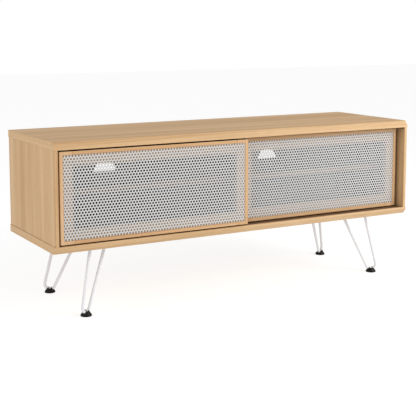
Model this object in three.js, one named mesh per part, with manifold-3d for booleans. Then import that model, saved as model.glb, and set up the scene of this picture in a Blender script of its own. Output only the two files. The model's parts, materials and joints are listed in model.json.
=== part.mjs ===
// TV stand: a low oak cabinet on four hairpin legs, with two sliding doors of perforated sheet.
// Millimetres. +X is to the right as seen from the front, +Y to the back, +Z up.
// The origin is on the floor, under the centre of the top.

import * as THREE from 'three';
import { mergeVertices } from 'three/addons/utils/BufferGeometryUtils.js';
import Module from 'manifold-3d';

const wasm = await Module();
wasm.setup();

// Overall
const WIDTH = 1190;
const DEPTH = 365;
const LEG_HEIGHT = 188;
const BODY_HEIGHT = 299;

// Top and bottom panels: a lip at the opening, then a bevel to the outer face
const PANEL_THICKNESS = 21;
const NOSE_LIP = 5.5;
const NOSE_DEPTH = 12;
const NOSE_ROUND = 3;

// Side panels, divider and back
const SIDE_THICKNESS = 10;
const SIDE_INSET = 1.5;
const SIDE_ROUND = 2.5;
const DIVIDER_THICKNESS = 12;
const DIVIDER_CLEARANCE = 4;
const BACK_THICKNESS = 5;
const BACK_INSET = 3;
const BACK_GROOVE_DEPTH = 5;
const BACK_GROOVE_CLEARANCE = 0.25;
const CABLE_HOLE_DIAMETER = 74;

// Shelves and their pins
const SHELF_THICKNESS = 15;
const SHELF_RISE = 123.5;
const SHELF_SETBACK = 20;
const SHELF_BACK_GAP = 12;
const SHELF_END_CLEARANCE = 1;
const PIN_DIAMETER = 5;
const PIN_WEB = 1;
const PIN_REACH = 8;
const PIN_MARGIN = 35;
const PIN_CLEARANCE = 0.25;
const PIN_CHAMFER = 0.6;

// Doors
const DOOR_THICKNESS = 18;
const DOOR_SETBACK = 3;
const DOOR_SPACING = 7;
const DOOR_END_GAP = 5.25;
const DOOR_OVERLAP = 2.5;
const DOOR_TOP_GAP = 4.25;
const DOOR_BOTTOM_GAP = 3.75;
const RIGHT_DOOR_AJAR = 6.5;
const FRAME_WIDTH = 37.5;
const FRAME_MARGIN = 9.5;
const SHEET_THICKNESS = 1.25;
const SHEET_RECESS = 1;
const SHEET_CLEARANCE = 1;

// Tracks, and the guides and glides that run in them
const TRACK_HEIGHT = 8;
const TRACK_WALL = 1.5;
const TRACK_CLEARANCE = 0.25;
const CHANNEL_WIDTH = 6;
const CHANNEL_DEPTH = 6;
const GLIDE_INSET = 6.75;
const GLIDE_SIDE_CLEARANCE = 0.5;
const GLIDE_FLOOR_CLEARANCE = 0.25;
const GUIDE_HEAD_CLEARANCE = 1.5;
const GLIDE_PLUG_WIDTH = 8;
const GLIDE_PLUG_HEIGHT = 11.5;
const GLIDE_POCKET_CLEARANCE = 0.25;

// Hairpin legs: a rod bent round the foot, with both ends on a plate under the bottom panel
const FOOT_END_INSET = 102;
const FOOT_EDGE_INSET = 44;
const LEG_TURN = THREE.MathUtils.degToRad(30.7);
const ROD_DIAMETER = 9;
const BEND_RADIUS = 15.3;
const BEND_STEPS = 12;
const ROD_TOP_OUTER = 23;
const ROD_TOP_INNER = 94;
const PLATE_THICKNESS = 3;
const PLATE_MARGIN = 21.5;
const PLATE_WIDTH = 44;
const PLATE_ROUND = 8;
const FOOT_DIAMETER = 31.6;
const FOOT_SHOULDER_DIAMETER = 21;
const FOOT_HEIGHT = 15.5;
const FOOT_SHOULDER_HEIGHT = 11;
const FOOT_RIM_HEIGHT = 3.5;
const FOOT_CHAMFER = 0.8;
const FOOT_CLEARANCE = 0.3;
const FOOT_FLOOR = 5.2;
const FOOT_LIP = 3.2;
const FOOT_DIP_RADIUS = 4.5;
const FOOT_DIP_DEPTH = 3;

// Wood screws through the plates
const SCREW_DIAMETER = 4;
const SCREW_HEAD_DIAMETER = 8;
const SCREW_HEAD_HEIGHT = 2.4;
const SCREW_HEAD_RIM = 1;
const SCREW_CROWN_DIAMETER = 4.8;
const SCREW_WEB = 2;
const SCREW_TIP = 2;
const SCREW_CLEARANCE = 0.3;
const SCREW_OUTER_EDGE = 12;
const SCREW_INNER_EDGE = 10;
const SCREW_SIDE_EDGE = 8;
const PILOT_CLEARANCE = 1;

// Facets of round pieces
const ROD_FACETS = 12;
const FOOT_FACETS = 32;
const SCREW_FACETS = 16;
const PIN_FACETS = 12;
const HOLE_FACETS = 48;

// How far a cutting shape runs past the surface that it cuts
const OVERRUN = 1;

// Faces that touch have to agree exactly, so places are kept to 1/64 mm, which adds up without rounding
const GRID = 1 / 64;
const snap = (value) => Math.round(value / GRID) * GRID;

// Levels and planes that follow from the sizes above
const bottomZ = snap(LEG_HEIGHT);
const floorZ = snap(LEG_HEIGHT + PANEL_THICKNESS);
const ceilingZ = snap(LEG_HEIGHT + BODY_HEIGHT - PANEL_THICKNESS);
const frontY = snap(-DEPTH / 2);
const rearY = snap(DEPTH / 2);
const sideOuterX = snap(WIDTH / 2 - SIDE_INSET);
const sideInnerX = snap(sideOuterX - SIDE_THICKNESS);
const backFrontY = snap(rearY - BACK_INSET - BACK_THICKNESS);
const frontDoorY = snap(frontY + DOOR_SETBACK);
const rearDoorY = snap(frontDoorY + DOOR_THICKNESS + DOOR_SPACING);
const dividerY = rearDoorY + DOOR_THICKNESS + DIVIDER_CLEARANCE;
const doorWidth = snap(sideInnerX - DOOR_END_GAP + DOOR_OVERLAP / 2);
const doorBottomZ = snap(floorZ + DOOR_BOTTOM_GAP);
const doorHeight = snap(ceilingZ - DOOR_TOP_GAP - doorBottomZ);
const shelfZ = floorZ + SHELF_RISE;
const shelfFrontY = dividerY + SHELF_SETBACK;
const shelfBackY = backFrontY - SHELF_BACK_GAP;
const pinEmbed = (DIVIDER_THICKNESS - PIN_WEB) / 2 - PIN_CLEARANCE;
const bayCentreX = (DIVIDER_THICKNESS / 2 + sideInnerX) / 2;
const cableHoleZ = shelfZ + SHELF_THICKNESS / 2;
const channelYs = [frontDoorY + DOOR_THICKNESS / 2, rearDoorY + DOOR_THICKNESS / 2];
const glideLength = FRAME_WIDTH - 2 * GLIDE_INSET;
const bendZ = FOOT_FLOOR + ROD_DIAMETER / 2 + BEND_RADIUS;
const plateStartX = ROD_TOP_OUTER - PLATE_MARGIN;
const plateEndX = ROD_TOP_INNER + PLATE_MARGIN;
const plateBottomZ = snap(LEG_HEIGHT - PLATE_THICKNESS);
const screwLength = PLATE_THICKNESS + PANEL_THICKNESS - TRACK_HEIGHT - SCREW_WEB;

// Materials
const finish = (color, roughness, metalness) => () =>
  new THREE.MeshStandardMaterial({ color, roughness, metalness });
const oak = finish(0xcea672, 0.6, 0);
const whiteMetal = finish(0xe6e6e4, 0.45, 0.1);
const brownPlastic = finish(0x6b4e35, 0.5, 0);
const blackRubber = finish(0x0d0d0d, 0.7, 0);
const steel = finish(0xb4b6b8, 0.4, 0.9);

const stand = new THREE.Group();

function addPart(parent, name, geometry, material) {
  const mesh = new THREE.Mesh(geometry, material());
  mesh.name = name;
  parent.add(mesh);
  return mesh;
}

// A box between two corners
function block(low, high) {
  const [x0, y0, z0] = low.map(snap);
  const [x1, y1, z1] = high.map(snap);
  const box = new THREE.BoxGeometry(x1 - x0, y1 - y0, z1 - z0);
  return box.translate((x0 + x1) / 2, (y0 + y1) / 2, (z0 + z1) / 2);
}

function toSolid(geometry) {
  const bare = geometry.clone();
  bare.deleteAttribute('normal');
  bare.deleteAttribute('uv');
  const merged = mergeVertices(bare);
  const corners = merged.index.array;
  const kept = [];
  for (let i = 0; i < corners.length; i += 3) {
    const [a, b, c] = corners.slice(i, i + 3);
    if (a !== b && b !== c && c !== a) kept.push(a, b, c);
  }
  const vertProperties = new Float32Array(merged.attributes.position.array);
  const mesh = new wasm.Mesh({ numProp: 3, vertProperties, triVerts: new Uint32Array(kept) });
  return new wasm.Manifold(mesh);
}

function toGeometry(solid) {
  const mesh = solid.getMesh();
  const geometry = new THREE.BufferGeometry();
  geometry.setAttribute('position', new THREE.BufferAttribute(mesh.vertProperties, mesh.numProp));
  geometry.setIndex(new THREE.BufferAttribute(mesh.triVerts, 1));
  geometry.computeVertexNormals();
  return geometry;
}

function cut(geometry, tools) {
  const solid = tools.reduce((body, tool) => body.subtract(toSolid(tool)), toSolid(geometry));
  return toGeometry(solid);
}

// A solid of revolution about +Z, from [radius, height] points that start and end on the axis
function turned(profile, facets) {
  const points = profile.map(([r, z]) => new THREE.Vector2(r, z));
  const lathe = new THREE.LatheGeometry(points, facets).rotateX(Math.PI / 2);
  return toGeometry(toSolid(lathe));
}

// A cylinder along +Z from height z0 to z1, for holes
function drill(radius, z0, z1, facets) {
  const cylinder = new THREE.CylinderGeometry(radius, radius, z1 - z0, facets);
  return cylinder.rotateX(Math.PI / 2).translate(0, 0, (z0 + z1) / 2);
}

// Carcass ---------------------------------------------------------------------------------------

// The panels' section in the Y-Z plane, with the outer face up: lip, rounded bevel, square back
function nosedPanel() {
  const run = new THREE.Vector2(NOSE_DEPTH, PANEL_THICKNESS - NOSE_LIP);
  const step = run.clone().setLength(NOSE_ROUND);
  const section = new THREE.Shape();
  section.moveTo(0, 0);
  section.lineTo(0, NOSE_LIP - NOSE_ROUND);
  section.quadraticCurveTo(0, NOSE_LIP, step.x, NOSE_LIP + step.y);
  section.lineTo(NOSE_DEPTH - step.x, PANEL_THICKNESS - step.y);
  section.quadraticCurveTo(NOSE_DEPTH, PANEL_THICKNESS, NOSE_DEPTH + NOSE_ROUND, PANEL_THICKNESS);
  section.lineTo(DEPTH, PANEL_THICKNESS);
  section.lineTo(DEPTH, 0);
  section.closePath();
  const panel = new THREE.ExtrudeGeometry(section, { depth: WIDTH, bevelEnabled: false, curveSegments: 5 });
  // Section X becomes +Y, section Y becomes +Z, and the extrusion runs along +X
  const turn = new THREE.Matrix4().makeBasis(
    new THREE.Vector3(0, 1, 0),
    new THREE.Vector3(0, 0, 1),
    new THREE.Vector3(1, 0, 0),
  );
  return panel.applyMatrix4(turn).translate(-WIDTH / 2, frontY, 0);
}

// What is cut from the inner face of both panels, which lies at height 0, with the solid above it
function trackRecess() {
  const x = sideInnerX;
  const y0 = channelYs[0] - CHANNEL_WIDTH / 2 - TRACK_WALL - TRACK_CLEARANCE;
  const y1 = channelYs[1] + CHANNEL_WIDTH / 2 + TRACK_WALL + TRACK_CLEARANCE;
  return block([-x, y0, -OVERRUN], [x, y1, TRACK_HEIGHT]);
}

function backGroove(x) {
  const y0 = backFrontY - BACK_GROOVE_CLEARANCE;
  const y1 = backFrontY + BACK_THICKNESS + BACK_GROOVE_CLEARANCE;
  return block([-x, y0, -OVERRUN], [x, y1, BACK_GROOVE_DEPTH]);
}

// Leg frames: X runs from the foot towards the middle of the stand
const footX = WIDTH / 2 - FOOT_END_INSET;
const footY = DEPTH / 2 - FOOT_EDGE_INSET;
const legs = {
  front_left: { x: -footX, y: -footY, turn: LEG_TURN },
  front_right: { x: footX, y: -footY, turn: Math.PI - LEG_TURN },
  rear_left: { x: -footX, y: footY, turn: -LEG_TURN },
  rear_right: { x: footX, y: footY, turn: LEG_TURN - Math.PI },
};

const screwSide = PLATE_WIDTH / 2 - SCREW_SIDE_EDGE;
const screwPlaces = [
  [plateStartX + SCREW_OUTER_EDGE, screwSide],
  [plateStartX + SCREW_OUTER_EDGE, -screwSide],
  [plateEndX - SCREW_INNER_EDGE, 0],
];

function pilotHoles() {
  const depth = screwLength - PLATE_THICKNESS + PILOT_CLEARANCE;
  const holes = [];
  for (const { x, y, turn } of Object.values(legs)) {
    for (const [u, v] of screwPlaces) {
      const hole = drill(SCREW_DIAMETER / 2 + SCREW_CLEARANCE, -OVERRUN, depth, SCREW_FACETS);
      holes.push(hole.translate(u, v, 0).rotateZ(turn).translate(x, y, bottomZ));
    }
  }
  return holes;
}

const grooveX = sideInnerX + BACK_GROOVE_DEPTH;
const topPanel = cut(nosedPanel(), [trackRecess(), backGroove(grooveX)]).translate(0, 0, ceilingZ);
addPart(stand, 'top_panel', topPanel, oak);

const mirrorZ = new THREE.Matrix4().makeScale(1, 1, -1);
function flipped(geometry) {
  const mirrored = geometry.applyMatrix4(mirrorZ);
  const corners = mirrored.index.array;
  for (let i = 0; i < corners.length; i += 3) {
    [corners[i], corners[i + 1]] = [corners[i + 1], corners[i]];
  }
  mirrored.computeVertexNormals();
  return mirrored;
}
const bottomBlank = flipped(cut(nosedPanel(), [trackRecess(), backGroove(grooveX)]));
const bottomPanel = cut(bottomBlank.translate(0, 0, floorZ), pilotHoles());
addPart(stand, 'bottom_panel', bottomPanel, oak);

// Shelf pins sit in holes in the side panels and the divider
const pinYs = [shelfFrontY + PIN_MARGIN, shelfBackY - PIN_MARGIN];
const pinZ = shelfZ - PIN_DIAMETER / 2 - PIN_CLEARANCE / 2;

function pinHoles(x, direction) {
  return pinYs.map((y) => {
    const radius = PIN_DIAMETER / 2 + PIN_CLEARANCE;
    const hole = drill(radius, -OVERRUN, pinEmbed + PIN_CLEARANCE, PIN_FACETS);
    return hole.rotateY((direction * Math.PI) / 2).translate(x, y, pinZ);
  });
}

function sidePanel() {
  const outline = new THREE.Shape();
  outline.moveTo(sideInnerX, frontY);
  outline.lineTo(sideOuterX - SIDE_ROUND, frontY);
  outline.quadraticCurveTo(sideOuterX, frontY, sideOuterX, frontY + SIDE_ROUND);
  outline.lineTo(sideOuterX, rearY);
  outline.lineTo(sideInnerX, rearY);
  outline.closePath();
  const depth = ceilingZ - floorZ;
  const panel = new THREE.ExtrudeGeometry(outline, { depth, bevelEnabled: false, curveSegments: 5 });
  const groove = block(
    [sideInnerX - OVERRUN, backFrontY - BACK_GROOVE_CLEARANCE, floorZ - OVERRUN],
    [grooveX, backFrontY + BACK_THICKNESS + BACK_GROOVE_CLEARANCE, ceilingZ + OVERRUN],
  );
  return cut(panel.translate(0, 0, floorZ), [groove, ...pinHoles(sideInnerX, 1)]);
}

addPart(stand, 'right_side_panel', sidePanel(), oak);
const mirrorX = new THREE.Matrix4().makeScale(-1, 1, 1);
const leftSide = sidePanel().applyMatrix4(mirrorX);
leftSide.setIndex([...leftSide.index.array].reverse());
leftSide.computeVertexNormals();
addPart(stand, 'left_side_panel', leftSide, oak);

const half = DIVIDER_THICKNESS / 2;
const divider = block([-half, dividerY, floorZ], [half, backFrontY, ceilingZ]);
const dividerHoles = [...pinHoles(half, -1), ...pinHoles(-half, 1)];
addPart(stand, 'centre_divider', cut(divider, dividerHoles), oak);

const backEdge = BACK_GROOVE_DEPTH - BACK_GROOVE_CLEARANCE;
const backPanel = block(
  [-sideInnerX - backEdge, backFrontY, floorZ - backEdge],
  [sideInnerX + backEdge, backFrontY + BACK_THICKNESS, ceilingZ + backEdge],
);
const cableHoles = [-bayCentreX, bayCentreX].map((x) => {
  const hole = drill(CABLE_HOLE_DIAMETER / 2, -OVERRUN, BACK_THICKNESS + OVERRUN, HOLE_FACETS);
  return hole.rotateX(-Math.PI / 2).translate(x, backFrontY, cableHoleZ);
});
addPart(stand, 'back_panel', cut(backPanel, cableHoles), oak);

// A pin lies along +X from its inner end, with chamfered ends
function shelfPin() {
  const radius = PIN_DIAMETER / 2;
  const length = pinEmbed + PIN_REACH;
  const pin = turned(
    [
      [0, 0],
      [radius - PIN_CHAMFER, 0],
      [radius, PIN_CHAMFER],
      [radius, length - PIN_CHAMFER],
      [radius - PIN_CHAMFER, length],
      [0, length],
    ],
    PIN_FACETS,
  );
  return pin.rotateY(Math.PI / 2);
}

for (const [side, sign] of [['left', -1], ['right', 1]]) {
  const wallX = sign * (sideInnerX - SHELF_END_CLEARANCE);
  const dividerX = sign * (half + SHELF_END_CLEARANCE);
  const [x0, x1] = [wallX, dividerX].sort((a, b) => a - b);
  const board = block([x0, shelfFrontY, shelfZ], [x1, shelfBackY, shelfZ + SHELF_THICKNESS]);
  addPart(stand, `${side}_shelf`, board, oak);
  const places = { outer: [sideInnerX, -sign], inner: [half, sign] };
  for (const [end, [x, into]] of Object.entries(places)) {
    for (const [place, y] of [['front', pinYs[0]], ['rear', pinYs[1]]]) {
      const pin = addPart(stand, `${side}_shelf_pin_${end}_${place}`, shelfPin(), steel);
      pin.position.set(sign * x - into * pinEmbed, y, pinZ);
      if (into < 0) pin.rotation.z = Math.PI;
    }
  }
}

// Tracks ----------------------------------------------------------------------------------------

// Inner face at height 0 and channels open downwards, as in the top panel
const channelEndX = sideInnerX - DOOR_END_GAP - GLIDE_INSET + TRACK_CLEARANCE;

function track() {
  const x = sideInnerX - TRACK_CLEARANCE;
  const y0 = channelYs[0] - CHANNEL_WIDTH / 2 - TRACK_WALL;
  const y1 = channelYs[1] + CHANNEL_WIDTH / 2 + TRACK_WALL;
  const channels = channelYs.map((y) =>
    block(
      [-channelEndX, y - CHANNEL_WIDTH / 2, -OVERRUN],
      [channelEndX, y + CHANNEL_WIDTH / 2, CHANNEL_DEPTH],
    ),
  );
  return cut(block([-x, y0, 0], [x, y1, TRACK_HEIGHT]), channels);
}

addPart(stand, 'upper_track', track().translate(0, 0, ceilingZ), brownPlastic);
addPart(stand, 'lower_track', flipped(track()).translate(0, 0, floorZ), brownPlastic);

// Doors -----------------------------------------------------------------------------------------

// A plug that fills a pocket in the door's edge, and a blade that runs in the channel.
// The door's edge is at height 0, the plug is below it and the blade above.
function glide(bladeHeight) {
  const plug = GLIDE_PLUG_WIDTH / 2;
  const blade = CHANNEL_WIDTH / 2 - GLIDE_SIDE_CLEARANCE;
  const section = new THREE.Shape();
  section.moveTo(-plug, -GLIDE_PLUG_HEIGHT);
  section.lineTo(plug, -GLIDE_PLUG_HEIGHT);
  section.lineTo(plug, 0);
  section.lineTo(blade, 0);
  section.lineTo(blade, bladeHeight);
  section.lineTo(-blade, bladeHeight);
  section.lineTo(-blade, 0);
  section.lineTo(-plug, 0);
  section.closePath();
  const bar = new THREE.ExtrudeGeometry(section, { depth: glideLength, bevelEnabled: false });
  return bar.translate(0, 0, -glideLength / 2).rotateX(Math.PI / 2).rotateZ(Math.PI / 2);
}

const guideBlade = DOOR_TOP_GAP + CHANNEL_DEPTH - GUIDE_HEAD_CLEARANCE;
const glideBlade = DOOR_BOTTOM_GAP + CHANNEL_DEPTH - GLIDE_FLOOR_CLEARANCE;

// A door's frame: X from its left edge, Y from its front face, Z from its bottom edge
function addDoor(side, x, y) {
  const door = new THREE.Group();
  door.position.set(snap(x), y, doorBottomZ);
  stand.add(door);

  const rebate = block(
    [FRAME_MARGIN, -OVERRUN, FRAME_MARGIN],
    [doorWidth - FRAME_MARGIN, SHEET_RECESS + SHEET_THICKNESS, doorHeight - FRAME_MARGIN],
  );
  const glideXs = {
    left: GLIDE_INSET + glideLength / 2,
    right: doorWidth - GLIDE_INSET - glideLength / 2,
  };
  const pocketX = glideLength / 2 + GLIDE_POCKET_CLEARANCE;
  const pocketY = GLIDE_PLUG_WIDTH / 2 + GLIDE_POCKET_CLEARANCE;
  const pocketZ = GLIDE_PLUG_HEIGHT + GLIDE_POCKET_CLEARANCE;
  const middleY = DOOR_THICKNESS / 2;

  for (const [end, edgeX] of [['left', 0], ['right', doorWidth - FRAME_WIDTH]]) {
    const stile = block([edgeX, 0, 0], [edgeX + FRAME_WIDTH, DOOR_THICKNESS, doorHeight]);
    const centre = glideXs[end];
    const pockets = [
      [-OVERRUN, pocketZ],
      [doorHeight - pocketZ, doorHeight + OVERRUN],
    ].map(([z0, z1]) =>
      block([centre - pocketX, middleY - pocketY, z0], [centre + pocketX, middleY + pocketY, z1]),
    );
    addPart(door, `${side}_door_${end}_stile`, cut(stile, [rebate, ...pockets]), oak);

    const guide = addPart(door, `${side}_door_${end}_top_guide`, glide(guideBlade), brownPlastic);
    guide.position.set(centre, middleY, doorHeight);
    const foot = addPart(door, `${side}_door_${end}_glide`, glide(glideBlade), brownPlastic);
    foot.position.set(centre, middleY, 0);
    foot.rotation.x = Math.PI;
  }

  for (const [end, edgeZ] of [['bottom', 0], ['top', doorHeight - FRAME_WIDTH]]) {
    const rail = block(
      [FRAME_WIDTH, 0, edgeZ],
      [doorWidth - FRAME_WIDTH, DOOR_THICKNESS, edgeZ + FRAME_WIDTH],
    );
    addPart(door, `${side}_door_${end}_rail`, cut(rail, [rebate]), oak);
  }

  const edge = FRAME_MARGIN + SHEET_CLEARANCE;
  const sheet = block(
    [edge, SHEET_RECESS, edge],
    [doorWidth - edge, SHEET_RECESS + SHEET_THICKNESS, doorHeight - edge],
  );
  addPart(door, `${side}_door_perforated_sheet`, sheet, whiteMetal);
}

addDoor('left', -sideInnerX + DOOR_END_GAP, frontDoorY);
addDoor('right', sideInnerX - DOOR_END_GAP - RIGHT_DOOR_AJAR - doorWidth, rearDoorY);

// Legs ------------------------------------------------------------------------------------------

// The rod's centre line in the leg's X-Z plane: down one side, round the bend, up the other.
// Both ends run on past the plate's underside, where they are cut off level.
class HairpinLine extends THREE.Curve {
  constructor() {
    super();
    const tops = [ROD_TOP_INNER, ROD_TOP_OUTER].map((x) => new THREE.Vector2(x, plateBottomZ));
    const bend = new THREE.Vector2(0, bendZ);
    // Angles on the bend where the two straight lengths touch it
    const [start, end] = tops.map((top, i) => {
      const reach = top.clone().sub(bend);
      const offset = Math.acos(BEND_RADIUS / reach.length());
      return reach.angle() + (i === 0 ? -offset : offset - 2 * Math.PI);
    });
    this.stops = [];
    for (let i = 0; i <= BEND_STEPS; i += 1) {
      const angle = start + ((end - start) * i) / BEND_STEPS;
      const spoke = new THREE.Vector2(Math.cos(angle), Math.sin(angle));
      this.stops.push(spoke.multiplyScalar(BEND_RADIUS).add(bend));
    }
    const runOn = (from, top) => top.clone().sub(from).setLength(ROD_DIAMETER).add(top);
    this.stops.unshift(runOn(this.stops[0], tops[0]));
    this.stops.push(runOn(this.stops.at(-1), tops[1]));
  }

  getPoint(t, target = new THREE.Vector3()) {
    const place = Math.min(Math.max(t, 0), 1) * (this.stops.length - 1);
    const i = Math.min(Math.floor(place), this.stops.length - 2);
    const stop = this.stops[i].clone().lerp(this.stops[i + 1], place - i);
    return target.set(stop.x, 0, stop.y);
  }

  // One section at each stop
  getUtoTmapping(u) {
    return u;
  }
}

function hairpin(radius) {
  const line = new HairpinLine();
  const section = new THREE.Shape().absarc(0, 0, radius, 0, Math.PI * 2);
  // A full circle takes two facets for each curve segment
  const bent = new THREE.ExtrudeGeometry(section, {
    steps: line.stops.length - 1,
    extrudePath: line,
    curveSegments: ROD_FACETS / 2,
  });
  const spare = block(
    [-ROD_DIAMETER, -ROD_DIAMETER, plateBottomZ],
    [ROD_TOP_INNER + 2 * ROD_DIAMETER, ROD_DIAMETER, plateBottomZ + 2 * ROD_DIAMETER],
  );
  return cut(bent, [spare]);
}

// A flared cap with a slot that the bend snaps into, and a dip in the two lips beside it
function footCap() {
  const radius = FOOT_DIAMETER / 2;
  const slotRadius = ROD_DIAMETER / 2 + FOOT_CLEARANCE;
  const cap = turned(
    [
      [0, 0],
      [radius - FOOT_CHAMFER, 0],
      [radius, FOOT_CHAMFER],
      [radius, FOOT_RIM_HEIGHT],
      [FOOT_SHOULDER_DIAMETER / 2, FOOT_SHOULDER_HEIGHT],
      [slotRadius + FOOT_LIP, FOOT_HEIGHT],
      [0, FOOT_HEIGHT],
    ],
    FOOT_FACETS,
  );
  const slot = drill(BEND_RADIUS, -slotRadius, slotRadius, HOLE_FACETS);
  const dip = drill(FOOT_DIP_RADIUS, -radius, radius, FOOT_FACETS);
  const dipZ = FOOT_HEIGHT - FOOT_DIP_DEPTH + FOOT_DIP_RADIUS;
  return cut(cap, [
    hairpin(slotRadius),
    slot.rotateX(Math.PI / 2).translate(0, 0, bendZ),
    dip.rotateX(Math.PI / 2).translate(0, 0, dipZ),
  ]);
}

function mountingPlate() {
  const [x, y, r] = [(plateEndX - plateStartX) / 2, PLATE_WIDTH / 2, PLATE_ROUND];
  const outline = new THREE.Shape();
  outline.absarc(x - r, y - r, r, 0, Math.PI / 2);
  outline.absarc(r - x, y - r, r, Math.PI / 2, Math.PI);
  outline.absarc(r - x, r - y, r, Math.PI, Math.PI * 1.5);
  outline.absarc(x - r, r - y, r, Math.PI * 1.5, Math.PI * 2);
  outline.closePath();
  const options = { depth: bottomZ - plateBottomZ, bevelEnabled: false, curveSegments: 3 };
  const blank = new THREE.ExtrudeGeometry(outline, options);
  const plate = blank.translate((plateStartX + plateEndX) / 2, 0, plateBottomZ);
  const holes = screwPlaces.map(([u, v]) => {
    const radius = SCREW_DIAMETER / 2 + SCREW_CLEARANCE;
    return drill(radius, plateBottomZ - OVERRUN, bottomZ + OVERRUN, SCREW_FACETS).translate(u, v, 0);
  });
  return cut(plate, holes);
}

// A pan-head screw, with the underside of its head at height 0 and its tip up
function screw() {
  const head = SCREW_HEAD_DIAMETER / 2;
  const shank = SCREW_DIAMETER / 2;
  return turned(
    [
      [0, -SCREW_HEAD_HEIGHT],
      [SCREW_CROWN_DIAMETER / 2, -SCREW_HEAD_HEIGHT],
      [head, -SCREW_HEAD_RIM],
      [head, 0],
      [shank, 0],
      [shank, screwLength - SCREW_TIP],
      [0, screwLength],
    ],
    SCREW_FACETS,
  );
}

for (const [place, { x, y, turn }] of Object.entries(legs)) {
  const leg = new THREE.Group();
  leg.position.set(x, y, 0);
  leg.rotation.z = turn;
  stand.add(leg);
  addPart(leg, `${place}_hairpin`, hairpin(ROD_DIAMETER / 2), whiteMetal);
  addPart(leg, `${place}_plate`, mountingPlate(), whiteMetal);
  addPart(leg, `${place}_foot_cap`, footCap(), blackRubber);
  screwPlaces.forEach(([u, v], i) => {
    const fastener = addPart(leg, `${place}_screw_${i + 1}`, screw(), steel);
    fastener.position.set(u, v, plateBottomZ);
  });
}

export default stand;
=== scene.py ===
"""Finishes and fine shapes of an oak TV stand with sliding perforated doors and hairpin legs."""

import json
import math

import bmesh
import bpy
from mathutils import Matrix, Vector

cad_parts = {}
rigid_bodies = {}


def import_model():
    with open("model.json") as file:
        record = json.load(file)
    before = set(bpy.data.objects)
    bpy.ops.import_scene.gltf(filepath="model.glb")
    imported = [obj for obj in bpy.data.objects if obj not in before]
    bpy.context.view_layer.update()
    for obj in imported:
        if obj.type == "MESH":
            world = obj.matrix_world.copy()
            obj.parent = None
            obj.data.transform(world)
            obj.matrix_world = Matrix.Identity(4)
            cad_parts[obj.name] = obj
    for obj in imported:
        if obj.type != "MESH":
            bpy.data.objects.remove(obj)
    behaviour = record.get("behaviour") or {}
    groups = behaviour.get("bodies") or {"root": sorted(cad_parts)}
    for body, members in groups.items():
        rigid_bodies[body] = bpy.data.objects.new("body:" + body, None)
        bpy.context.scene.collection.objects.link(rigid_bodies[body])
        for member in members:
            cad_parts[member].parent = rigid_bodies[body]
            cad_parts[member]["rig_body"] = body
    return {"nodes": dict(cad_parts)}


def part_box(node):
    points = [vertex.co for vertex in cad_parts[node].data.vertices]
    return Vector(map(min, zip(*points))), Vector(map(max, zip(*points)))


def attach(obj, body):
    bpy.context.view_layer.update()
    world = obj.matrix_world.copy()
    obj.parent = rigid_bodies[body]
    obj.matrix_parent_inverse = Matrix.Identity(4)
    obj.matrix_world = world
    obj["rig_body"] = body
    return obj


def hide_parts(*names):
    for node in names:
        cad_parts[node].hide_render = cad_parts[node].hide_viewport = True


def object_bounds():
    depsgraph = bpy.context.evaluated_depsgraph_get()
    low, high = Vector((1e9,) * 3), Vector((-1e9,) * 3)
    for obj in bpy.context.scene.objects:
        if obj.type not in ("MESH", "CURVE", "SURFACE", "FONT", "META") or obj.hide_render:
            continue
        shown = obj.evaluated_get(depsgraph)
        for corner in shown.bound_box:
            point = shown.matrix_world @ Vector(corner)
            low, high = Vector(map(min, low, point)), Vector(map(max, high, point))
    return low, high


bl_info = {
    "name": "Oak TV Stand",
    "version": (1, 0, 0),
    "blender": (4, 5, 0),
    "location": "View3D > Sidebar > TV Stand",
    "description": "Dresses the frame of a TV stand with sliding perforated doors",
    "category": "Object",
}

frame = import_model()
cad_low, cad_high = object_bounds()

MM = 0.001

SIDES = ("left", "right")
ENDS = ("left", "right")
LEG_PLACES = ("front_left", "front_right", "rear_left", "rear_right")

# The attribute that gives each board its own stretch of veneer
LEAF = "veneer_leaf"

# Vertices nearer than this are one vertex
WELD = 0.002 * MM
# Faces that bend less than this are one face
FLAT = math.radians(0.5)
# Edges that turn more than this are eased
CREASE = math.radians(32)


def linear(code):
    """Turns an sRGB hex colour into linear red, green, blue and alpha."""
    channels = [int(code[i : i + 2], 16) / 255 for i in (0, 2, 4)]
    curve = [c / 12.92 if c <= 0.04045 else ((c + 0.055) / 1.055) ** 2.4 for c in channels]
    return (*curve, 1.0)


# Settings --------------------------------------------------------------------------------------


def length(name, description, millimetres):
    return bpy.props.FloatProperty(
        name=name, description=description, default=millimetres * MM, min=0, precision=5, unit="LENGTH"
    )


def colour(name, description, code):
    return bpy.props.FloatVectorProperty(
        name=name, description=description, default=linear(code), size=4, min=0, max=1, subtype="COLOR"
    )


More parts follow.
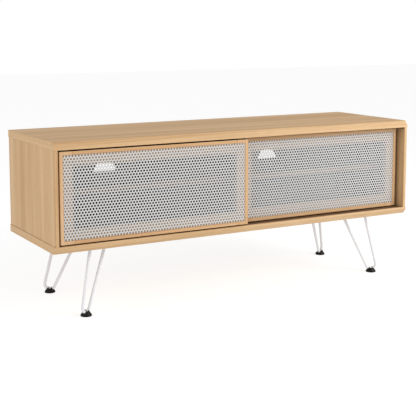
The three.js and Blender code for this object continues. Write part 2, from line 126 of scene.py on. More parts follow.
class StandSizes(bpy.types.PropertyGroup):
    board_easing: length("Board easing", "Rounding of the arris of each board", 0.7)
    metal_easing: length("Plate easing", "Rounding of the edges of the mounting plates", 0.5)
    plastic_easing: length("Plastic easing", "Rounding of the edges of the tracks and glides", 0.3)
    rubber_easing: length("Rubber easing", "Rounding of the edges of the foot caps", 0.35)
    hole_diameter: length("Hole diameter", "Diameter of the holes in the door sheets", 6.0)
    rod_diameter: length("Rod diameter", "Diameter of the leg rods", 9.0)
    bend_radius: length("Bend radius", "Radius of the rod's centre line round the foot", 15.3)
    rod_spread: length("Rod spread", "Distance between the two ends of a rod at its plate", 71.0)
    weld_size: length("Weld size", "Width and height of the weld round each rod end", 2.2)
    screw_head: length("Screw head", "Height of a screw's head", 2.4)
    screw_rim: length("Screw rim", "Height of the upright rim of a screw's head", 1.0)
    screw_shank: length("Screw shank", "Diameter of a screw's shank", 4.0)
    screw_tip: length("Screw tip", "Length of a screw's point", 2.0)
    recess_arm: length("Recess arm", "Reach of each arm of a screw's cross recess", 1.7)
    recess_width: length("Recess width", "Width of each arm of a screw's cross recess", 0.85)
    recess_depth: length("Recess depth", "Depth of a screw's cross recess", 1.3)
    pin_rounding: length("Pin rounding", "Rounding of the ends of the shelf pins", 0.6)
    hole_columns: bpy.props.IntProperty(
        name="Hole columns", description="Holes in each full row of a door sheet", default=63, min=1
    )
    hole_rows: bpy.props.IntProperty(
        name="Hole rows", description="Rows of holes in a door sheet", default=30, min=2
    )


class StandColours(bpy.types.PropertyGroup):
    oak_pale: colour("Pale oak", "Lightest streaks of the veneer", "cfae88")
    oak_mid: colour("Oak", "Main tone of the veneer", "c3a074")
    oak_deep: colour("Deep oak", "Darkest streaks of the veneer", "b28a5f")
    oak_pore: colour("Oak pores", "Open pores of the veneer", "8a6540")
    oak_warm: colour("Warm oak", "Tone that the doors' solid oak leans to", "bd8455")
    # Painted shade: near black on the faces inside the cabinet, which lie in shade behind the doors
    inside_painted_shade: colour("Inside stain", "Black stain on the faces inside the cabinet", "0f1012")
    # Painted shade: brown on the frames behind the door sheets and on the shelf fronts, which lie in shade
    rebate_painted_shade: colour("Rebate stain", "Brown stain behind the door sheets and on shelf fronts", "92775a")
    sheet_white: colour("Sheet white", "Powder coat of the door sheets", "bdbcba")
    leg_white: colour("Leg white", "Powder coat of the legs", "dadadc")
    rubber_black: colour("Rubber black", "Foot caps", "050505")
    plastic_brown: colour("Plastic brown", "Tracks, guides and glides", "6b4e35")
    zinc: colour("Zinc", "Screws and shelf pins", "c3c6c9")


class StageSettings(bpy.types.PropertyGroup):
    camera_place: bpy.props.FloatVectorProperty(
        name="Camera place",
        description="Where the camera stands, from the middle of the floor under the stand",
        default=(-1.5149, -2.6151, 0.7988),
        size=3,
        subtype="TRANSLATION",
        unit="LENGTH",
    )
    camera_yaw: bpy.props.FloatProperty(
        name="Camera turn",
        description="How far the camera is turned to the right of the stand's depth",
        default=math.radians(29.73),
        subtype="ANGLE",
    )
    camera_tilt: bpy.props.FloatProperty(
        name="Camera tilt",
        description="How far the camera looks down",
        default=math.radians(7.07),
        subtype="ANGLE",
    )
    camera_lens: bpy.props.FloatProperty(
        name="Lens", description="Focal length in millimetres on a 36 mm sensor", default=86.48, min=1
    )
    camera_shift: bpy.props.FloatVectorProperty(
        name="Camera shift", description="Lens shift to the right and up", default=(-0.0065, -0.15), size=2
    )
    surround: bpy.props.FloatProperty(
        name="Surround", description="Strength of the light from all round", default=0.65, min=0
    )
    key: bpy.props.FloatProperty(
        name="Key light",
        description="Power of the large light at the front right",
        default=74,
        min=0,
        unit="POWER",
    )
    fill: bpy.props.FloatProperty(
        name="Fill light", description="Power of the light at the left", default=24, min=0, unit="POWER"
    )


def sizes():
    return bpy.context.scene.stand_sizes


def colours():
    return bpy.context.scene.stand_colours


# Materials -------------------------------------------------------------------------------------


def add(tree, kind, settings=None, inputs=None):
    """Adds a node with its settings, and gives each of its inputs a value or a link."""
    node = tree.nodes.new(kind)
    for name, value in (settings or {}).items():
        setattr(node, name, value)
    for key, value in (inputs or {}).items():
        if isinstance(value, bpy.types.NodeSocket):
            tree.links.new(value, node.inputs[key])
        else:
            node.inputs[key].default_value = value
    return node


def new_material(name):
    """A material with a bare surface shader, as the material, its tree and the shader."""
    material = bpy.data.materials.get(name)
    if material:
        bpy.data.materials.remove(material)
    material = bpy.data.materials.new(name)
    material.use_nodes = True
    tree = material.node_tree
    return material, tree, tree.nodes["Principled BSDF"]


# The boxes of painted shade pass the faces they are meant for by this much
PAINTED_SHADE_REACH = 0.5 * MM
# How far behind a sheet's front its box of painted shade still reaches the frame
REBATE_REACH = 3 * MM


def cabinet_inside():
    """Boxes round the faces inside the carcass and over the doors that get near black painted shade, as
    (low, high) corners.
    """
    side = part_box("right_side_panel")[0].x + PAINTED_SHADE_REACH
    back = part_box("back_panel")[0].y + PAINTED_SHADE_REACH
    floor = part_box("bottom_panel")[1].z - PAINTED_SHADE_REACH
    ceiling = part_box("top_panel")[0].z
    shelf_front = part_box("left_shelf")[0].y + 2 * PAINTED_SHADE_REACH
    door_low, door_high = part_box("left_door_top_rail")
    bays = ((-side, shelf_front, floor), (side, back, ceiling + PAINTED_SHADE_REACH))
    above_doors = (
        (-side, door_low.y + PAINTED_SHADE_REACH, door_high.z - PAINTED_SHADE_REACH),
        (side, back, ceiling - PAINTED_SHADE_REACH),
    )
    return bays, above_doors


def shaded_fronts():
    """Boxes round the frame faces behind the door sheets and the front edges of the shelves, which get
    brown painted shade.
    """
    boxes = []
    around = Vector((1, 1, 1)) * 2 * PAINTED_SHADE_REACH
    for side in SIDES:
        low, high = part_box(f"{side}_door_perforated_sheet")
        boxes.append((low, high + Vector((0, REBATE_REACH, 0))))
        low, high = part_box(f"{side}_shelf")
        boxes.append((low - around, Vector((high.x, low.y, high.z)) + around))
    return boxes


def painted_shade_in_boxes(tree, wood, boxes, painted_shade):
    """Wood with painted shade of the given colour on every face that lies in one of the boxes, which are
    fixed to the wood.
    """
    for low, high in boxes:
        place = add(tree, "ShaderNodeTexCoord").outputs["Object"]
        axes = add(tree, "ShaderNodeSeparateXYZ", None, {0: place}).outputs
        inside = 1.0
        for axis, least, most in zip(axes, low, high):
            for operation, limit in (("GREATER_THAN", least), ("LESS_THAN", most)):
                test = add(tree, "ShaderNodeMath", {"operation": operation}, {0: axis, 1: limit})
                terms = {0: inside, 1: test.outputs[0]}
                inside = add(tree, "ShaderNodeMath", {"operation": "MULTIPLY"}, terms).outputs[0]
        # Lays the painted shade over the wood on the faces in this box
        coat = add(tree, "ShaderNodeMix", {"data_type": "RGBA"}, {0: inside, 6: wood, 7: painted_shade})
        wood = coat.outputs[2]
    return wood


def oak_veneer(name, grain, across, warmth=0.0):
    """Oak veneer, crown cut and lacquered satin.

    The eye sees soft long streaks, faint growth rings and open pores, under a low sheen that
    breaks up along the grain. Warmth turns it towards fresh solid oak.
    """
    material, tree, shader = new_material(name)
    place = add(tree, "ShaderNodeTexCoord").outputs["Object"]
    leaf = add(tree, "ShaderNodeAttribute", {"attribute_name": LEAF}).outputs["Fac"]
    place = add(tree, "ShaderNodeVectorMath", {"operation": "ADD"}, {0: place, 1: leaf}).outputs[0]

    def figure(length_mm, width_mm, detail, roughness=0.5):
        """Noise whose marks are that long along the grain and that wide across it."""
        scale = [1 / ((length_mm if axis == grain else width_mm) * MM) for axis in "XYZ"]
        spot = add(tree, "ShaderNodeMapping", None, {"Scale": scale, "Vector": place}).outputs[0]
        inputs = {"Scale": 1.0, "Detail": detail, "Roughness": roughness, "Vector": spot}
        return add(tree, "ShaderNodeTexNoise", None, inputs).outputs["Fac"]

    bands = figure(1400, 46, 2.0)
    streaks = figure(420, 5.5, 3.0, 0.6)
    waver = figure(520, 70, 2.0)
    # Real pores are 0.3 mm wide: these are drawn three times as coarse so that they show
    pores = figure(22, 0.9, 2.0)

    # Growth rings 9 mm apart, bent by the waver into long arches
    ring_mm = 9
    bend_rings = 9.0
    ring_share = 0.025
    spacing = [a / (ring_mm * MM) for a in across]
    plain = add(tree, "ShaderNodeVectorMath", {"operation": "DOT_PRODUCT"}, {0: place, 1: spacing})
    bend = add(tree, "ShaderNodeMath", {"operation": "MULTIPLY"}, {0: waver, 1: bend_rings})
    terms = {0: plain.outputs["Value"], 1: bend.outputs[0]}
    bent = add(tree, "ShaderNodeMath", {"operation": "ADD"}, terms).outputs[0]
    turn = add(tree, "ShaderNodeMath", {"operation": "MULTIPLY"}, {0: bent, 1: 2 * math.pi})
    rings = add(tree, "ShaderNodeMath", {"operation": "SINE"}, {0: turn.outputs[0]}).outputs[0]

    # The tone is the mean of the bands and the streaks, with a trace of the rings
    both = add(tree, "ShaderNodeMath", {"operation": "ADD"}, {0: bands, 1: streaks}).outputs[0]
    mean = add(tree, "ShaderNodeMath", {"operation": "MULTIPLY"}, {0: both, 1: 0.5}).outputs[0]
    trace = add(tree, "ShaderNodeMath", {"operation": "MULTIPLY"}, {0: rings, 1: ring_share})
    terms = {0: mean, 1: trace.outputs[0]}
    tone = add(tree, "ShaderNodeMath", {"operation": "ADD"}, terms).outputs[0]

    c = colours()
    base = add(tree, "ShaderNodeValToRGB", None, {0: tone})
    band = base.color_ramp
    band.elements.new(1.0)
    stops = ((0.34, c.oak_deep), (0.5, c.oak_mid), (0.64, c.oak_pale))
    for element, (position, shade) in zip(band.elements, stops):
        element.position = position
        element.color = shade
    terms = {0: warmth, 6: base.outputs["Color"], 7: c.oak_warm}
    wood = add(tree, "ShaderNodeMix", {"data_type": "RGBA"}, terms).outputs[2]
    share = {"From Min": 0.60, "From Max": 0.72, "To Min": 0.0, "To Max": 0.35, "Value": pores}
    open_pores = add(tree, "ShaderNodeMapRange", None, share).outputs[0]
    terms = {0: open_pores, 6: wood, 7: c.oak_pore}
    wood = add(tree, "ShaderNodeMix", {"data_type": "RGBA"}, terms).outputs[2]
    # Painted shade: near black inside the carcass and on the tops of the doors, where shade falls behind
    # and above the doors
    wood = painted_shade_in_boxes(tree, wood, cabinet_inside(), c.inside_painted_shade)
    # Painted shade: brown on the frames behind the sheets and on the shelf fronts, where shade falls behind
    # the sheets
    wood = painted_shade_in_boxes(tree, wood, shaded_fronts(), c.rebate_painted_shade)
    tree.links.new(wood, shader.inputs["Base Color"])

    sheen = {"From Min": 0.3, "From Max": 0.7, "To Min": 0.56, "To Max": 0.7, "Value": streaks}
    gloss = add(tree, "ShaderNodeMapRange", None, sheen)
    tree.links.new(gloss.outputs[0], shader.inputs["Roughness"])
    shader.inputs["IOR"].default_value = 1.45
    relief = add(tree, "ShaderNodeMath", {"operation": "SUBTRACT"}, {0: streaks, 1: pores})
    inputs = {"Strength": 0.35, "Distance": 0.12 * MM, "Height": relief.outputs[0]}
    bump = add(tree, "ShaderNodeBump", None, inputs)
    tree.links.new(bump.outputs["Normal"], shader.inputs["Normal"])
    return material


def powder_coat(name, shade, roughness):
    """Powder coat baked on steel: an even colour with the slight orange peel of the melted powder."""
    material, tree, shader = new_material(name)
    place = add(tree, "ShaderNodeTexCoord").outputs["Object"]
    # Orange peel about 1.5 mm from crest to crest
    inputs = {"Scale": 1 / (1.5 * MM), "Detail": 1.0, "Vector": place}
    peel = add(tree, "ShaderNodeTexNoise", None, inputs).outputs["Fac"]
    shader.inputs["Base Color"].default_value = shade
    shader.inputs["Roughness"].default_value = roughness
    shader.inputs["IOR"].default_value = 1.5
    inputs = {"Strength": 0.25, "Distance": 0.03 * MM, "Height": peel}
    bump = add(tree, "ShaderNodeBump", None, inputs)
    tree.links.new(bump.outputs["Normal"], shader.inputs["Normal"])
    return material


def moulded(name, shade, roughness, grain_mm):
    """Rubber or plastic with a matt skin: a fine even grain that scatters the light.

    A real grain is about 0.1 mm from pit to pit: it is drawn several times as coarse so that it shows.
    """
    material, tree, shader = new_material(name)
    place = add(tree, "ShaderNodeTexCoord").outputs["Object"]
    inputs = {"Scale": 1 / (grain_mm * MM), "Detail": 2.0, "Vector": place}
    pits = add(tree, "ShaderNodeTexNoise", None, inputs).outputs["Fac"]
    shader.inputs["Base Color"].default_value = shade
    wear = {"From Min": 0.35, "From Max": 0.65, "Value": pits}
    wear.update({"To Min": roughness - 0.06, "To Max": roughness + 0.06})
    worn = add(tree, "ShaderNodeMapRange", None, wear)
    tree.links.new(worn.outputs[0], shader.inputs["Roughness"])
    shader.inputs["IOR"].default_value = 1.5
    # The pits swallow about half of the surface gloss
    shader.inputs["Specular IOR Level"].default_value = 0.25
    inputs = {"Strength": 0.4, "Distance": 0.05 * MM, "Height": pits}
    bump = add(tree, "ShaderNodeBump", None, inputs)
    tree.links.new(bump.outputs["Normal"], shader.inputs["Normal"])
    return material


def zinc_plate(name):
    """Bright zinc plate on steel: a pale grey metal, clouded where the bath left it uneven."""
    material, tree, shader = new_material(name)
    place = add(tree, "ShaderNodeTexCoord").outputs["Object"]
    # Clouds about 2.5 mm across
    inputs = {"Scale": 1 / (2.5 * MM), "Detail": 2.0, "Vector": place}
    clouds = add(tree, "ShaderNodeTexNoise", None, inputs).outputs["Fac"]
    shader.inputs["Base Color"].default_value = colours().zinc
    shader.inputs["Metallic"].default_value = 1.0
    haze = {"From Min": 0.35, "From Max": 0.65, "To Min": 0.28, "To Max": 0.42, "Value": clouds}
    cloudy = add(tree, "ShaderNodeMapRange", None, haze)
    tree.links.new(cloudy.outputs[0], shader.inputs["Roughness"])
    return material


# The doors' solid oak is this much warmer than the veneer of the carcass
DOOR_WARMTH = 0.22


def make_materials():
    c = colours()
    return {
        "oak_along": oak_veneer("Oak veneer along the stand", "X", (0.0, 1.0, 0.7)),
        "oak_deep": oak_veneer("Oak banding on the panel ends", "Y", (0.2, 0.0, 1.0)),
        "oak_upright": oak_veneer("Oak veneer upright", "Z", (0.8, 1.0, 0.0)),
        "rail_oak": oak_veneer("Solid oak of the door rails", "X", (0.0, 1.0, 0.7), DOOR_WARMTH),
        "stile_oak": oak_veneer("Solid oak of the door stiles", "Z", (0.8, 1.0, 0.0), DOOR_WARMTH),
        "sheet": powder_coat("White powder coat on the sheets", c.sheet_white, 0.42),
        "legs": powder_coat("White powder coat on the legs", c.leg_white, 0.35),
        "rubber": moulded("Moulded rubber", c.rubber_black, 0.55, 0.8),
        "plastic": moulded("Extruded plastic", c.plastic_brown, 0.5, 0.6),
        "zinc": zinc_plate("Zinc plate"),
    }


# The materials by finish, made before the first piece
finishes = {}


# Meshes ----------------------------------------------------------------------------------------


def new_piece(name, mesh, materials, body, nodes):
    """Links a piece to the scene, says what it rides on, and hides the CAD nodes it stands for."""
    piece = bpy.data.objects.new(name, mesh)
    bpy.context.scene.collection.objects.link(piece)
    mesh.materials.clear()
    for material in materials:
        mesh.materials.append(material)
    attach(piece, body)
    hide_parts(*nodes)
    return piece


def body_of(node):
    return frame["nodes"][node]["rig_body"]


def eased(node, easing, segments=2):
    """A fresh mesh of a CAD node's solid, with clean flat faces and its edges rounded."""
    work = bmesh.new()
    work.from_mesh(frame["nodes"][node].data)
    bmesh.ops.remove_doubles(work, verts=work.verts, dist=WELD)
    bmesh.ops.dissolve_limit(work, angle_limit=FLAT, verts=work.verts, edges=work.edges)
    creases = [e for e in work.edges if e.is_manifold and e.calc_face_angle() > CREASE]
    bmesh.ops.bevel(
        work,
        geom=creases,
        offset=easing,
        offset_type="OFFSET",
        segments=segments,
        profile=0.5,
        affect="EDGES",
        clamp_overlap=True,
    )
    bmesh.ops.recalc_face_normals(work, faces=work.faces)
    mesh = bpy.data.meshes.new(node)
    work.to_mesh(mesh)
    work.free()
    return mesh


def smooth_large_faces(piece):
    """Keeps the large faces flat to the eye, and lets the rounded edges turn smoothly between them."""
    piece.data.shade_smooth()
    normals = piece.modifiers.new("Face weighted normals", "WEIGHTED_NORMAL")
    normals.weight = 60


def set_leaf(mesh, leaf):
    """Gives a board its own stretch of veneer."""
    attribute = mesh.attributes.new(LEAF, "FLOAT", "POINT")
    attribute.data.foreach_set("value", [leaf] * len(mesh.vertices))


def extruded_plan(name, points, faces, low_y, high_y):
    """A plate from a plan in X and Z. Edges that only one face of the plan uses become its walls."""
    count = len(points)
    vertices = [(x, low_y, z) for x, z in points] + [(x, high_y, z) for x, z in points]
    directed = {(f[i], f[(i + 1) % len(f)]) for f in faces for i in range(len(f))}
    rims = [edge for edge in directed if (edge[1], edge[0]) not in directed]
    rims.sort()
    polygons = [tuple(f) for f in faces]
    polygons += [tuple(i + count for i in reversed(f)) for f in faces]
    polygons += [(b, a, a + count, b + count) for a, b in rims]
    mesh = bpy.data.meshes.new(name)
    mesh.from_pydata(vertices, [], polygons)
    mesh.validate()
    return mesh


def lathe(work, profile, facets):
    """Turns [radius, height] points about Z into work, and returns a ring of vertices for each."""
    rings = []
    for radius, z in profile:
        if radius == 0:
            rings.append([work.verts.new((0, 0, z))])
            continue
        turn = [2 * math.pi * i / facets for i in range(facets)]
        rings.append([work.verts.new((radius * math.cos(a), radius * math.sin(a), z)) for a in turn])
    for lower, upper in zip(rings, rings[1:]):
        for i in range(facets):
            j = (i + 1) % facets
            corners = [lower[i % len(lower)], lower[j % len(lower)]]
            corners += [upper[j % len(upper)], upper[i % len(upper)]]
            unique = list(dict.fromkeys(corners))
            if len(unique) > 2:
                work.faces.new(unique)
    return rings


def finished_mesh(work, name, place):
    """Moves work to its place and makes it a mesh with smooth curves and crisp corners."""
    bmesh.ops.recalc_face_normals(work, faces=work.faces)
    work.transform(place)
    for edge in work.edges:
        edge.smooth = not edge.is_manifold or edge.calc_face_angle() < CREASE
    mesh = bpy.data.meshes.new(name)
    work.to_mesh(mesh)
    work.free()
    mesh.shade_smooth()
    return mesh


# Boards ----------------------------------------------------------------------------------------

# Boards whose veneer runs along the stand, and those whose veneer stands upright
LONG_BOARDS = ("top_panel", "bottom_panel", "left_shelf", "right_shelf", "back_panel")
UPRIGHT_BOARDS = ("left_side_panel", "right_side_panel", "centre_divider")
# Metres of veneer from one board's stretch to the next
LEAF_STEP = 1.37
# A face whose normal runs along the stand by more than this is banded
BANDED = 0.9


def make_board(node, finish, leaf):
    """Makes a board. One whose grain runs along the stand has banding on its ends."""
    mesh = eased(node, sizes().board_easing)
    set_leaf(mesh, leaf * LEAF_STEP)
    materials = [finishes[finish], finishes["oak_deep"]]
    piece = new_piece(f"{node}_board", mesh, materials, body_of(node), [node])
    if finish == "oak_along":
        for polygon in mesh.polygons:
            if abs(polygon.normal.x) > BANDED:
                polygon.material_index = 1
    smooth_large_faces(piece)


class TVSTAND_OT_carcass(bpy.types.Operator):
    """Makes the boards of the carcass"""

    bl_idname = "tvstand.carcass"
    bl_label = "Carcass boards"

    def execute(self, context):
        for leaf, node in enumerate(LONG_BOARDS):
            make_board(node, "oak_along", leaf)
        for leaf, node in enumerate(UPRIGHT_BOARDS, len(LONG_BOARDS)):
            make_board(node, "oak_upright", leaf)
        return {"FINISHED"}


class TVSTAND_OT_door_frames(bpy.types.Operator):
    """Makes the stiles and rails of both doors"""

    bl_idname = "tvstand.door_frames"
    bl_label = "Door frames"

    def execute(self, context):
        leaf = len(LONG_BOARDS) + len(UPRIGHT_BOARDS)
        for side in SIDES:
            for part, finish in (
                ("left_stile", "stile_oak"),
                ("right_stile", "stile_oak"),
                ("bottom_rail", "rail_oak"),
                ("top_rail", "rail_oak"),
            ):
                make_board(f"{side}_door_{part}", finish, leaf)
                leaf += 1
        return {"FINISHED"}


# Door sheets -----------------------------------------------------------------------------------

HOLE_FACETS = 12


def perforated_plan(low, high, columns, rows, radius):
    """The plan of a sheet with staggered round holes, whose shifted rows end in half holes."""
    pitch = (high[0] - low[0]) / columns
    spacing = pitch * math.sin(math.radians(60))
    middle = (low[1] + high[1]) / 2
    centres = [middle + (row - (rows - 1) / 2) * spacing for row in range(rows)]
    lines = [low[1], *((a + b) / 2 for a, b in zip(centres, centres[1:])), high[1]]
    points, index, faces = [], {}, []

    def point(x, z):
        key = (round(x, 7), round(z, 7))
        if key not in index:
            index[key] = len(points)
            points.append((x, z))
        return index[key]

    def arc(x, z, start, end):
        """Points on a hole from one angle round to another, in steps of its facets."""
        step = 360 // HOLE_FACETS
        angles = [math.radians(a) for a in range(start, end + 1, step)]
        return [point(x + radius * math.cos(a), z + radius * math.sin(a)) for a in angles]

    for row, z in enumerate(centres):
        shifted = row % 2
        bottom, top = lines[row], lines[row + 1]
        for i in range(columns + shifted):
            x = low[0] + (i + (0 if shifted else 0.5)) * pitch
            to_left = not (shifted and i == 0)
            to_right = not (shifted and i == columns)
            left, right = x - pitch / 2, x + pitch / 2
            if to_right:
                faces.append([point(x, bottom), point(right, bottom), *reversed(arc(x, z, -90, -30))])
                faces.append([point(right, bottom), point(right, top), *reversed(arc(x, z, -30, 30))])
                faces.append([point(right, top), point(x, top), *reversed(arc(x, z, 30, 90))])
            if to_left:
                faces.append([point(x, top), point(left, top), *reversed(arc(x, z, 90, 150))])
                faces.append([point(left, top), point(left, bottom), *reversed(arc(x, z, 150, 210))])
                faces.append([point(left, bottom), point(x, bottom), *reversed(arc(x, z, 210, 270))])
    return points, faces


class TVSTAND_OT_door_sheets(bpy.types.Operator):
    """Makes the perforated sheets of both doors, with their real holes"""

    bl_idname = "tvstand.door_sheets"
    bl_label = "Door sheets"

    def execute(self, context):
        s = sizes()
        for side in SIDES:
            node = f"{side}_door_perforated_sheet"
            low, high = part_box(node)
            points, faces = perforated_plan(
                (low.x, low.z), (high.x, high.z), s.hole_columns, s.hole_rows, s.hole_diameter / 2
            )
            mesh = extruded_plan(node, points, faces, low.y, high.y)
            new_piece(f"{side}_door_sheet", mesh, [finishes["sheet"]], body_of(node), [node])
        return {"FINISHED"}


# Tracks, guides and glides ---------------------------------------------------------------------


class TVSTAND_OT_running_gear(bpy.types.Operator):
    """Makes the tracks, and the guides and glides that run in them"""

    bl_idname = "tvstand.running_gear"
    bl_label = "Tracks and glides"

    def execute(self, context):
        nodes = ["upper_track", "lower_track"]
        for side in SIDES:
            for end in ENDS:
                nodes += [f"{side}_door_{end}_top_guide", f"{side}_door_{end}_glide"]
        for node in nodes:
            mesh = eased(node, sizes().plastic_easing)
            piece = new_piece(
                f"{node}_moulding", mesh, [finishes["plastic"]], body_of(node), [node]
            )
            smooth_large_faces(piece)
        return {"FINISHED"}


# Legs ------------------------------------------------------------------------------------------

BEND_STEPS = 28
ROD_FACETS = 24
WELD_RINGS = 5
WELD_LUMPS = 7
# Share of its radius by which a weld's lumps stand out
LUMP_SHARE = 0.08


def leg_frame(place):
    """The middle of a foot on the floor, the direction in which its leg spreads, and the plate."""
    foot_low, foot_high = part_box(f"{place}_foot_cap")
    plate_low, plate_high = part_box(f"{place}_plate")
    foot = (foot_low + foot_high) / 2
    plate = (plate_low + plate_high) / 2
    foot.z = foot_low.z
    along = plate - foot
    along.z = 0
    return foot, along.normalized(), along.length, plate_low.z


def hairpin_line(place):
    """Points down one side of a rod, round the bend and up the other, with the rod's directions."""
    s = sizes()
    foot, along, reach, top_z = leg_frame(place)
    rod_low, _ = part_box(f"{place}_hairpin")
    bend_z = rod_low.z + s.rod_diameter / 2 + s.bend_radius
    tops = [Vector((reach + s.rod_spread / 2, top_z)), Vector((reach - s.rod_spread / 2, top_z))]
    bend = Vector((0, bend_z))
    turns = []
    for i, top in enumerate(tops):
        arm = top - bend
        offset = math.acos(s.bend_radius / arm.length)
        angle = math.atan2(arm.y, arm.x)
        turns.append(angle - offset if i == 0 else angle + offset - 2 * math.pi)
    flat = []
    for i in range(BEND_STEPS + 1):
        angle = turns[0] + (turns[1] - turns[0]) * i / BEND_STEPS
        flat.append(bend + s.bend_radius * Vector((math.cos(angle), math.sin(angle))))
    flat = [tops[0], *flat, tops[1]]
    up = Vector((0, 0, 1))
    return [foot + along * p.x + up * p.y for p in flat], along.cross(up), top_z


def swept_rod(work, points, side, top_z):
    """A round rod along points that lie in one plane, cut level and welded at both ends."""
    s = sizes()
    radius = s.rod_diameter / 2

    def welded_end(top, inner):
        """Centres and radii from the rod's end inwards, with the weld's hollow flare."""
        down = (inner - top).normalized()
        stops = []
        for i in range(WELD_RINGS + 1):
            turn = math.pi / 2 * i / WELD_RINGS
            flare = s.weld_size * (1 - math.sin(turn))
            stops.append((top + down * s.weld_size * (1 - math.cos(turn)), radius + flare))
        return stops

    stops = welded_end(points[0], points[1])
    stops += [(point, radius) for point in points[1:-1]]
    stops += reversed(welded_end(points[-1], points[-2]))
    rings = []
    for i, (centre, size) in enumerate(stops):
        before = stops[max(i - 1, 0)][0]
        after = stops[min(i + 1, len(stops) - 1)][0]
        heading = (after - before).normalized()
        inward = heading.cross(side).normalized()
        weld_share = (size - radius) / s.weld_size
        ring = []
        for k in range(ROD_FACETS):
            turn = 2 * math.pi * k / ROD_FACETS
            lump = 1 + LUMP_SHARE * math.sin(WELD_LUMPS * turn) * weld_share
            spot = centre + (inward * math.cos(turn) + side * math.sin(turn)) * size * lump
            if weld_share > 0:
                # The weld lies level under the plate, not square to the rod
                level = spot + heading * ((centre.z - spot.z) / heading.z)
                spot = spot.lerp(level, weld_share)
            ring.append(work.verts.new(spot))
        rings.append(ring)
    for ring, following in zip(rings, rings[1:]):
        for k in range(ROD_FACETS):
            j = (k + 1) % ROD_FACETS
            work.faces.new((ring[k], ring[j], following[j], following[k]))
    work.faces.new(rings[0])
    work.faces.new(rings[-1])
    for vertex in [*rings[0], *rings[-1]]:
        vertex.co.z = top_z


class TVSTAND_OT_legs(bpy.types.Operator):
    """Makes the four bent rods with their welds, and the plates they hang from"""

    bl_idname = "tvstand.legs"
    bl_label = "Hairpin legs"

    def execute(self, context):
        for place in LEG_PLACES:
            points, side, top_z = hairpin_line(place)
            work = bmesh.new()
            swept_rod(work, points, side, top_z)
            bmesh.ops.recalc_face_normals(work, faces=work.faces)
            mesh = bpy.data.meshes.new(f"{place}_rod")
            work.to_mesh(mesh)
            work.free()
            node = f"{place}_hairpin"
            piece = new_piece(f"{place}_rod", mesh, [finishes["legs"]], body_of(node), [node])
            smooth_large_faces(piece)
            node = f"{place}_plate"
            plate = eased(node, sizes().metal_easing)
            piece = new_piece(
                f"{place}_mounting_plate", plate, [finishes["legs"]], body_of(node), [node]
            )
            smooth_large_faces(piece)
        return {"FINISHED"}


class TVSTAND_OT_foot_caps(bpy.types.Operator):
    """Makes the rubber caps under the legs"""

    bl_idname = "tvstand.foot_caps"
    bl_label = "Foot caps"

    def execute(self, context):
        for place in LEG_PLACES:
            node = f"{place}_foot_cap"
            mesh = eased(node, sizes().rubber_easing)
            piece = new_piece(
                f"{place}_rubber_cap", mesh, [finishes["rubber"]], body_of(node), [node]
            )
            smooth_large_faces(piece)
        return {"FINISHED"}


# Small hardware --------------------------------------------------------------------------------

METAL_FACETS = 32
CURVE_STEPS = 5
# Radius of the flat on a screw's head, and width of its recess at the bottom, as shares
CROWN_SHARE = 0.6
RECESS_TAPER = 2 / 3


def quarter_curve():
    """Shares of the way out and up along a quarter turn."""
    turns = [math.pi / 2 * i / CURVE_STEPS for i in range(CURVE_STEPS + 1)]
    return [(math.sin(a), 1 - math.cos(a)) for a in turns]


def cross_outline(reach, half_width):
    """The twelve corners of a cross recess, in turn."""
    corners = []
    for x, y in ((reach, -half_width), (reach, half_width), (half_width, half_width)):
        corners.append(Vector((x, y, 0)))
    quarters = [Matrix.Rotation(math.radians(90 * i), 3, "Z") for i in range(4)]
    return [quarter @ corner for quarter in quarters for corner in corners]


def cut_recess(work, crown):
    """Closes the crown of a screw with a flat face that holds a cross recess."""
    s = sizes()
    outline = cross_outline(s.recess_arm, s.recess_width / 2)
    inner = Vector((RECESS_TAPER, RECESS_TAPER, 1))
    mouth = [work.verts.new(corner) for corner in outline]
    bottom = [work.verts.new(corner * inner + Vector((0, 0, s.recess_depth))) for corner in outline]
    count = len(outline)
    for i in range(count):
        j = (i + 1) % count
        work.faces.new((mouth[i], mouth[j], bottom[j], bottom[i]))
    work.faces.new(bottom)
    edges = [work.edges.get((ring[i - 1], ring[i])) for ring in (mouth, crown) for i in range(len(ring))]
    bmesh.ops.triangle_fill(work, use_beauty=True, edges=edges)


def screw_mesh(node):
    """A pan head with a cross recess, below a plain shank with a point."""
    s = sizes()
    low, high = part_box(node)
    radius = (high.x - low.x) / 2
    crown = CROWN_SHARE * radius
    dome = s.screw_head - s.screw_rim
    profile = [(crown + (radius - crown) * out, dome * up) for out, up in quarter_curve()]
    profile += [(radius, s.screw_head), (s.screw_shank / 2, s.screw_head)]
    profile += [(s.screw_shank / 2, high.z - low.z - s.screw_tip), (0, high.z - low.z)]
    work = bmesh.new()
    rings = lathe(work, profile, METAL_FACETS)
    cut_recess(work, rings[0])
    middle = (low + high) / 2
    return finished_mesh(work, node, Matrix.Translation((middle.x, middle.y, low.z)))


def pin_mesh(node):
    """A round shelf pin with rounded ends, along X."""
    rounding = sizes().pin_rounding
    low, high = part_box(node)
    radius = (high.z - low.z) / 2
    length_x = high.x - low.x
    end = [(radius - rounding + rounding * out, rounding * up) for out, up in quarter_curve()]
    profile = [(0, 0), *end, *((r, length_x - z) for r, z in reversed(end)), (0, length_x)]
    work = bmesh.new()
    lathe(work, profile, METAL_FACETS)
    middle = (low + high) / 2
    place = Matrix.Translation((low.x, middle.y, middle.z)) @ Matrix.Rotation(math.radians(90), 4, "Y")
    return finished_mesh(work, node, place)


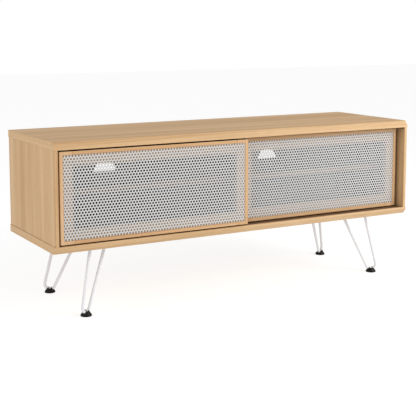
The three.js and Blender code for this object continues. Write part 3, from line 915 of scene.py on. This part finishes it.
class TVSTAND_OT_hardware(bpy.types.Operator):
    """Makes the screws of the plates and the pins of the shelves"""

    bl_idname = "tvstand.hardware"
    bl_label = "Screws and pins"

    def execute(self, context):
        meshes = {}
        for place in LEG_PLACES:
            for i in (1, 2, 3):
                node = f"{place}_screw_{i}"
                meshes[node] = screw_mesh(node)
        for side in SIDES:
            for end in ("outer_front", "outer_rear", "inner_front", "inner_rear"):
                node = f"{side}_shelf_pin_{end}"
                meshes[node] = pin_mesh(node)
        for node, mesh in meshes.items():
            new_piece(f"{node}_metal", mesh, [finishes["zinc"]], body_of(node), [node])
        return {"FINISHED"}


# Stage -----------------------------------------------------------------------------------------


# Half the side of the floor, and the places and sizes of the lights, in metres
FLOOR_REACH = 12.0
KEY_PLACE = (2.0, -2.3, 1.65)
KEY_SIZE = (1.8, 1.2)
FILL_PLACE = (-3.0, -1.0, 1.6)
FILL_SIZE = (2.0, 2.0)


def area_light(name, place, target, size, power):
    """Adds a large soft light that faces the target."""
    lamp = bpy.data.lights.new(name, "AREA")
    lamp.shape = "RECTANGLE"
    lamp.size, lamp.size_y = size
    lamp.energy = power
    light = bpy.data.objects.new(name, lamp)
    light.location = place
    light.rotation_mode = "QUATERNION"
    light.rotation_quaternion = (Vector(target) - Vector(place)).to_track_quat("-Z", "Y")
    bpy.context.scene.collection.objects.link(light)


class TVSTAND_OT_stage(bpy.types.Operator):
    """Makes the pale floor, the studio light and the camera"""

    bl_idname = "tvstand.stage"
    bl_label = "Stage"

    def execute(self, context):
        scene = bpy.context.scene
        stage = scene.stand_stage
        scene.view_settings.view_transform = "Standard"

        world = bpy.data.worlds.new("Studio surround")
        scene.world = world
        world.use_nodes = True
        tree = world.node_tree
        tree.nodes.clear()
        # The backdrop is plain white, and lights the stand at its own strength
        white = linear("ffffff")
        path = add(tree, "ShaderNodeLightPath")
        lit = add(tree, "ShaderNodeBackground", None, {"Color": white, "Strength": stage.surround})
        seen = add(tree, "ShaderNodeBackground", None, {"Color": white, "Strength": 1.0})
        terms = {0: path.outputs["Is Camera Ray"], 1: lit.outputs[0], 2: seen.outputs[0]}
        blend = add(tree, "ShaderNodeMixShader", None, terms)
        add(tree, "ShaderNodeOutputWorld", None, {"Surface": blend.outputs[0]})

        # Matt white studio floor, lit a little past white so that it meets the backdrop without a line
        material, tree, shader = new_material("Studio floor")
        shader.inputs["Base Color"].default_value = linear("969696")
        shader.inputs["Roughness"].default_value = 0.9
        shader.inputs["Emission Color"].default_value = white
        shader.inputs["Emission Strength"].default_value = 0.73
        mesh = bpy.data.meshes.new("studio_floor")
        signs = ((-1, -1), (1, -1), (1, 1), (-1, 1))
        corners = [(x * FLOOR_REACH, y * FLOOR_REACH, 0) for x, y in signs]
        mesh.from_pydata(corners, [], [(0, 1, 2, 3)])
        mesh.materials.append(material)
        floor = bpy.data.objects.new("studio_floor", mesh)
        floor.location.z = cad_low.z
        scene.collection.objects.link(floor)

        target = (cad_low + cad_high) / 2
        area_light("Key", KEY_PLACE, target, KEY_SIZE, stage.key)
        area_light("Fill", FILL_PLACE, target, FILL_SIZE, stage.fill)

        lens = bpy.data.cameras.new("Camera")
        lens.sensor_width = 36
        lens.lens = stage.camera_lens
        lens.shift_x, lens.shift_y = stage.camera_shift
        lens.clip_start, lens.clip_end = 0.05, 100
        camera = bpy.data.objects.new("Camera", lens)
        camera.location = stage.camera_place
        camera.rotation_euler = (math.pi / 2 - stage.camera_tilt, 0, -stage.camera_yaw)
        scene.collection.objects.link(camera)
        scene.camera = camera
        return {"FINISHED"}


# Add-on ----------------------------------------------------------------------------------------

OPERATORS = (
    TVSTAND_OT_stage,
    TVSTAND_OT_carcass,
    TVSTAND_OT_door_frames,
    TVSTAND_OT_door_sheets,
    TVSTAND_OT_running_gear,
    TVSTAND_OT_legs,
    TVSTAND_OT_foot_caps,
    TVSTAND_OT_hardware,
)


class TVSTAND_PT_sidebar(bpy.types.Panel):
    """Lists the settings and the pieces of the stand"""

    bl_idname = "TVSTAND_PT_sidebar"
    bl_label = "TV Stand"
    bl_space_type = "VIEW_3D"
    bl_region_type = "UI"
    bl_category = "TV Stand"

    def draw(self, context):
        for group in (context.scene.stand_sizes, context.scene.stand_colours, context.scene.stand_stage):
            box = self.layout.box()
            for name in group.__annotations__:
                box.prop(group, name)
        for operator in OPERATORS:
            self.layout.operator(operator.bl_idname)


GROUPS = {"stand_sizes": StandSizes, "stand_colours": StandColours, "stand_stage": StageSettings}
CLASSES = (*GROUPS.values(), *OPERATORS, TVSTAND_PT_sidebar)


def register():
    for cls in CLASSES:
        bpy.utils.register_class(cls)
    for name, group in GROUPS.items():
        setattr(bpy.types.Scene, name, bpy.props.PointerProperty(type=group))


def unregister():
    for name in GROUPS:
        delattr(bpy.types.Scene, name)
    for cls in reversed(CLASSES):
        bpy.utils.unregister_class(cls)


def main():
    register()
    finishes.update(make_materials())
    bpy.ops.tvstand.stage()
    bpy.ops.tvstand.carcass()
    bpy.ops.tvstand.door_frames()
    bpy.ops.tvstand.door_sheets()
    bpy.ops.tvstand.running_gear()
    bpy.ops.tvstand.legs()
    bpy.ops.tvstand.foot_caps()
    bpy.ops.tvstand.hardware()


if __name__ == "__main__":
    main()
